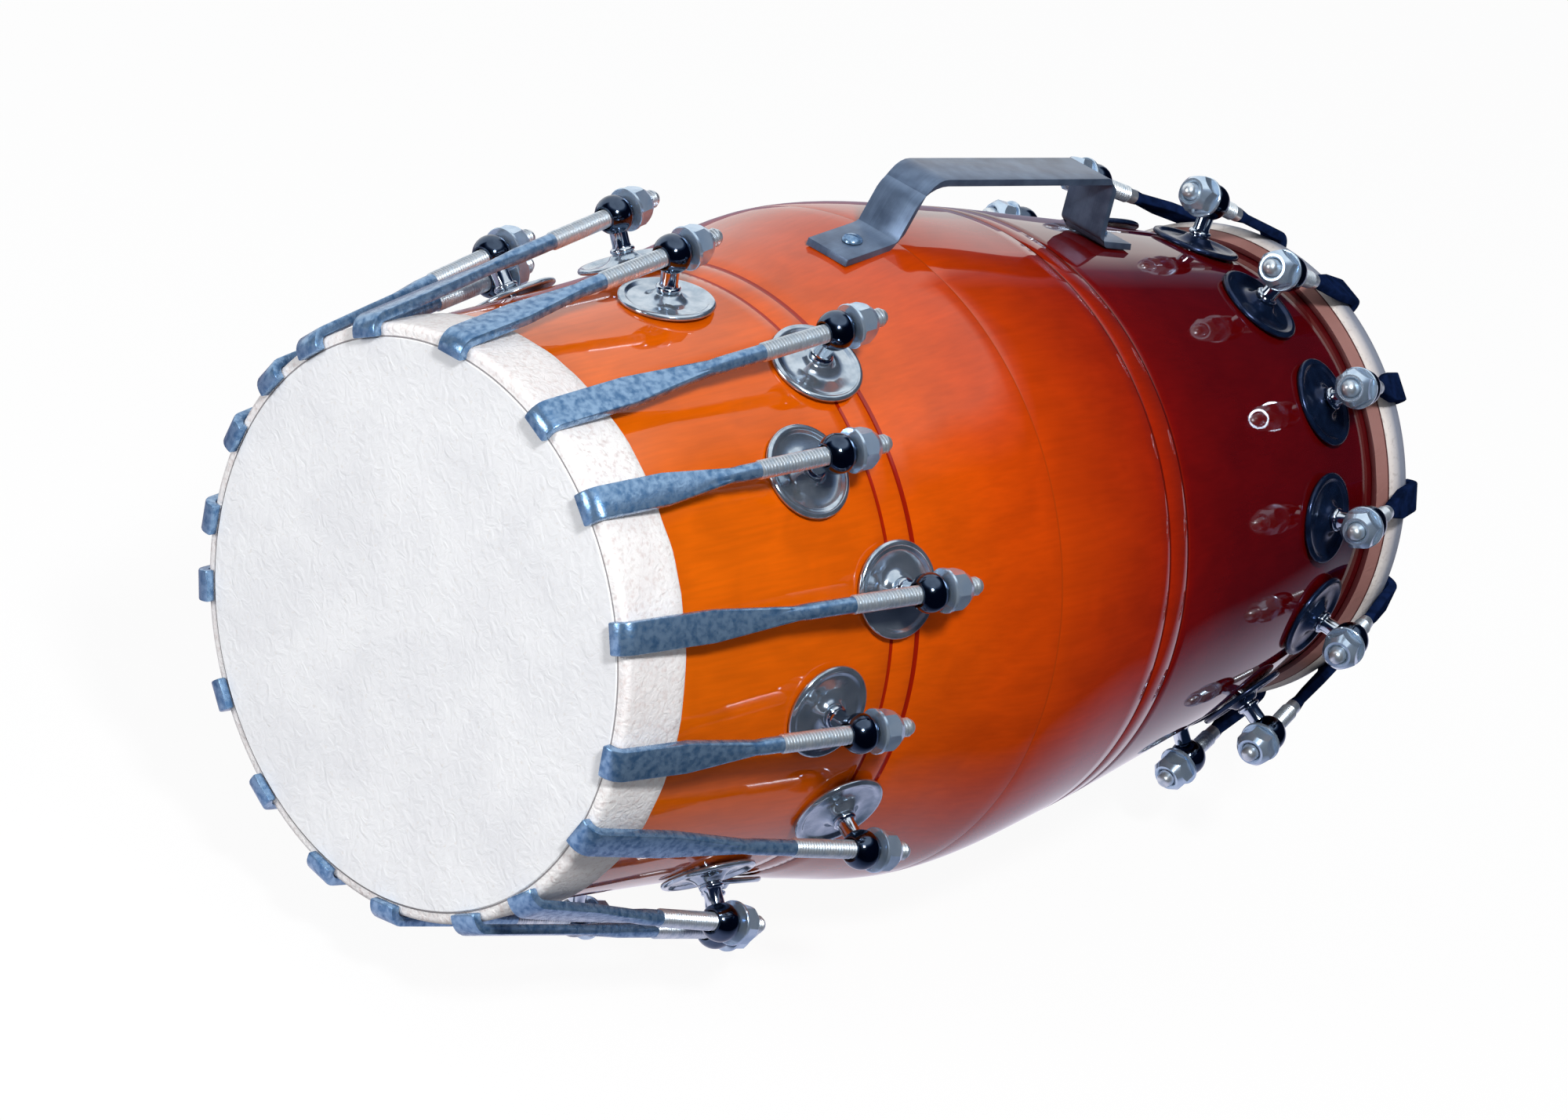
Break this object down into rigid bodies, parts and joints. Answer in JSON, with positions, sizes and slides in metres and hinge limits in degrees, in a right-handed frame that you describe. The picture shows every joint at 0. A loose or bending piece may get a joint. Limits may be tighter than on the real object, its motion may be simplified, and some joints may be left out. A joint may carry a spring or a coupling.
{
  "type": "dholak barrel drum",
  "caption": "Two-headed wooden barrel drum with hide heads pulled by steel hooks, eyebolts and tuning nuts, and a bent strap handle on top.",
  "frame": {"origin": "centre of the large bass head's flat playing face", "axes": "+X along the drum's axis from the bass face to the small treble face, +Z out of the shell through the handle"},
  "size_m": [0.5164, 0.3167, 0.3284],
  "materials": {
    "varnished_wood": "gloss varnish",
    "rawhide": "bare scraped rawhide",
    "tuning_paste": "dull tarry paste",
    "hoop_steel": "plain drawn steel",
    "handle_steel": "brushed",
    "plated_steel": "bright nickel plating"
  },
  "bodies": {
    "drum": {"shell": "varnished_wood", "bass_skin": "rawhide", "bass_hoop": "hoop_steel", "bass_masala": "tuning_paste", "treble_skin": "rawhide", "treble_hoop": "hoop_steel", "handle": "handle_steel", "handle_front_screw": "plated_steel", "handle_rear_screw": "plated_steel", "bass_post_01": "plated_steel", "bass_post_02": "plated_steel", "bass_post_03": "plated_steel", "bass_post_04": "plated_steel", "bass_post_05": "plated_steel", "bass_post_06": "plated_steel", "bass_post_07": "plated_steel", "bass_post_08": "plated_steel", "bass_post_09": "plated_steel", "bass_tuner_10": "plated_steel", "bass_tuner_11": "plated_steel", "bass_tuner_12": "plated_steel", "bass_tuner_13": "plated_steel", "bass_tuner_14": "plated_steel", "bass_tuner_15": "plated_steel", "bass_tuner_16": "plated_steel", "bass_tuner_17": "plated_steel", "bass_tuner_18": "plated_steel", "treble_tuner_01": "plated_steel", "treble_tuner_02": "plated_steel", "treble_tuner_03": "plated_steel", "treble_tuner_04": "plated_steel", "treble_tuner_05": "plated_steel", "treble_tuner_06": "plated_steel", "treble_tuner_07": "plated_steel", "treble_tuner_08": "plated_steel", "treble_tuner_09": "plated_steel", "treble_tuner_10": "plated_steel", "treble_tuner_11": "plated_steel", "treble_tuner_12": "plated_steel", "treble_tuner_13": "plated_steel", "treble_tuner_14": "plated_steel"},
    "hook_01": {"bass_hook_01": "plated_steel"},
    "nut_01": {"bass_nut_01": "plated_steel"},
    "hook_02": {"bass_hook_02": "plated_steel"},
    "nut_02": {"bass_nut_02": "plated_steel"},
    "hook_03": {"bass_hook_03": "plated_steel"},
    "nut_03": {"bass_nut_03": "plated_steel"},
    "hook_04": {"bass_hook_04": "plated_steel"},
    "nut_04": {"bass_nut_04": "plated_steel"},
    "hook_05": {"bass_hook_05": "plated_steel"},
    "nut_05": {"bass_nut_05": "plated_steel"},
    "hook_06": {"bass_hook_06": "plated_steel"},
    "nut_06": {"bass_nut_06": "plated_steel"},
    "hook_07": {"bass_hook_07": "plated_steel"},
    "nut_07": {"bass_nut_07": "plated_steel"},
    "hook_08": {"bass_hook_08": "plated_steel"},
    "nut_08": {"bass_nut_08": "plated_steel"},
    "hook_09": {"bass_hook_09": "plated_steel"},
    "nut_09": {"bass_nut_09": "plated_steel"}
  },
  "joints": [
    {"name": "nut_01_turn", "type": "hinge", "parent": "drum", "child": "nut_01", "pos_m": [0.11112, 0.10241, 0.10241], "axis": [0.9791, 0.1438, 0.1438], "range_deg": [0, 1440]},
    {"name": "hook_01_slide", "type": "slide", "parent": "drum", "child": "hook_01", "axis": [-0.9791, -0.1438, -0.1438], "range_m": [0, 0.005]},
    {"name": "nut_02_turn", "type": "hinge", "parent": "drum", "child": "nut_02", "pos_m": [0.14216, 0.06966, 0.13101], "axis": [0.983, 0.0863, 0.1622], "range_deg": [0, 1440]},
    {"name": "hook_02_slide", "type": "slide", "parent": "drum", "child": "hook_02", "axis": [-0.983, -0.0863, -0.1622], "range_m": [0, 0.005]},
    {"name": "nut_03_turn", "type": "hinge", "parent": "drum", "child": "nut_03", "pos_m": [0.11112, 0.00758, 0.14463], "axis": [0.9791, -0.008, 0.2031], "range_deg": [0, 1440]},
    {"name": "hook_03_slide", "type": "slide", "parent": "drum", "child": "hook_03", "axis": [-0.9791, 0.008, -0.2031], "range_m": [0, 0.005]},
    {"name": "nut_04_turn", "type": "hinge", "parent": "drum", "child": "nut_04", "pos_m": [0.14216, -0.05797, 0.13658], "axis": [0.983, -0.0849, 0.1629], "range_deg": [0, 1440]},
    {"name": "hook_04_slide", "type": "slide", "parent": "drum", "child": "hook_04", "axis": [-0.983, 0.0849, -0.1629], "range_m": [0, 0.005]},
    {"name": "nut_05_turn", "type": "hinge", "parent": "drum", "child": "nut_05", "pos_m": [0.11112, -0.09878, 0.10592], "axis": [0.9787, -0.1647, 0.1222], "range_deg": [0, 1440]},
    {"name": "hook_05_slide", "type": "slide", "parent": "drum", "child": "hook_05", "axis": [-0.9787, 0.1647, -0.1222], "range_m": [0, 0.005]},
    {"name": "nut_06_turn", "type": "hinge", "parent": "drum", "child": "nut_06", "pos_m": [0.14216, -0.13658, 0.05797], "axis": [0.983, -0.1743, 0.0582], "range_deg": [0, 1440]},
    {"name": "hook_06_slide", "type": "slide", "parent": "drum", "child": "hook_06", "axis": [-0.983, 0.1743, -0.0582], "range_m": [0, 0.005]},
    {"name": "nut_07_turn", "type": "hinge", "parent": "drum", "child": "nut_07", "pos_m": [0.11112, -0.14474, 0.00505], "axis": [0.9787, -0.2003, 0.0442], "range_deg": [0, 1440]},
    {"name": "hook_07_slide", "type": "slide", "parent": "drum", "child": "hook_07", "axis": [-0.9787, 0.2003, -0.0442], "range_m": [0, 0.005]},
    {"name": "nut_08_turn", "type": "hinge", "parent": "drum", "child": "nut_08", "pos_m": [0.14216, -0.13658, -0.05797], "axis": [0.9792, -0.1351, -0.1512], "range_deg": [0, 1440]},
    {"name": "hook_08_slide", "type": "slide", "parent": "drum", "child": "hook_08", "axis": [-0.9792, 0.1351, 0.1512], "range_m": [0, 0.005]},
    {"name": "nut_09_turn", "type": "hinge", "parent": "drum", "child": "nut_09", "pos_m": [0.11112, -0.10061, -0.10418], "axis": [0.971, -0.0475, -0.2345], "range_deg": [0, 1440]},
    {"name": "hook_09_slide", "type": "slide", "parent": "drum", "child": "hook_09", "axis": [-0.971, 0.0475, 0.2345], "range_m": [0, 0.005]}
  ],
  "couplings": [
    {"joint": "nut_01_turn", "follows": "hook_01_slide", "rad_per_m": 5026.5},
    {"joint": "nut_02_turn", "follows": "hook_02_slide", "rad_per_m": 5026.5},
    {"joint": "nut_03_turn", "follows": "hook_03_slide", "rad_per_m": 5026.5},
    {"joint": "nut_04_turn", "follows": "hook_04_slide", "rad_per_m": 5026.5},
    {"joint": "nut_05_turn", "follows": "hook_05_slide", "rad_per_m": 5026.5},
    {"joint": "nut_06_turn", "follows": "hook_06_slide", "rad_per_m": 5026.5},
    {"joint": "nut_07_turn", "follows": "hook_07_slide", "rad_per_m": 5026.5},
    {"joint": "nut_08_turn", "follows": "hook_08_slide", "rad_per_m": 5026.5},
    {"joint": "nut_09_turn", "follows": "hook_09_slide", "rad_per_m": 5026.5}
  ]
}
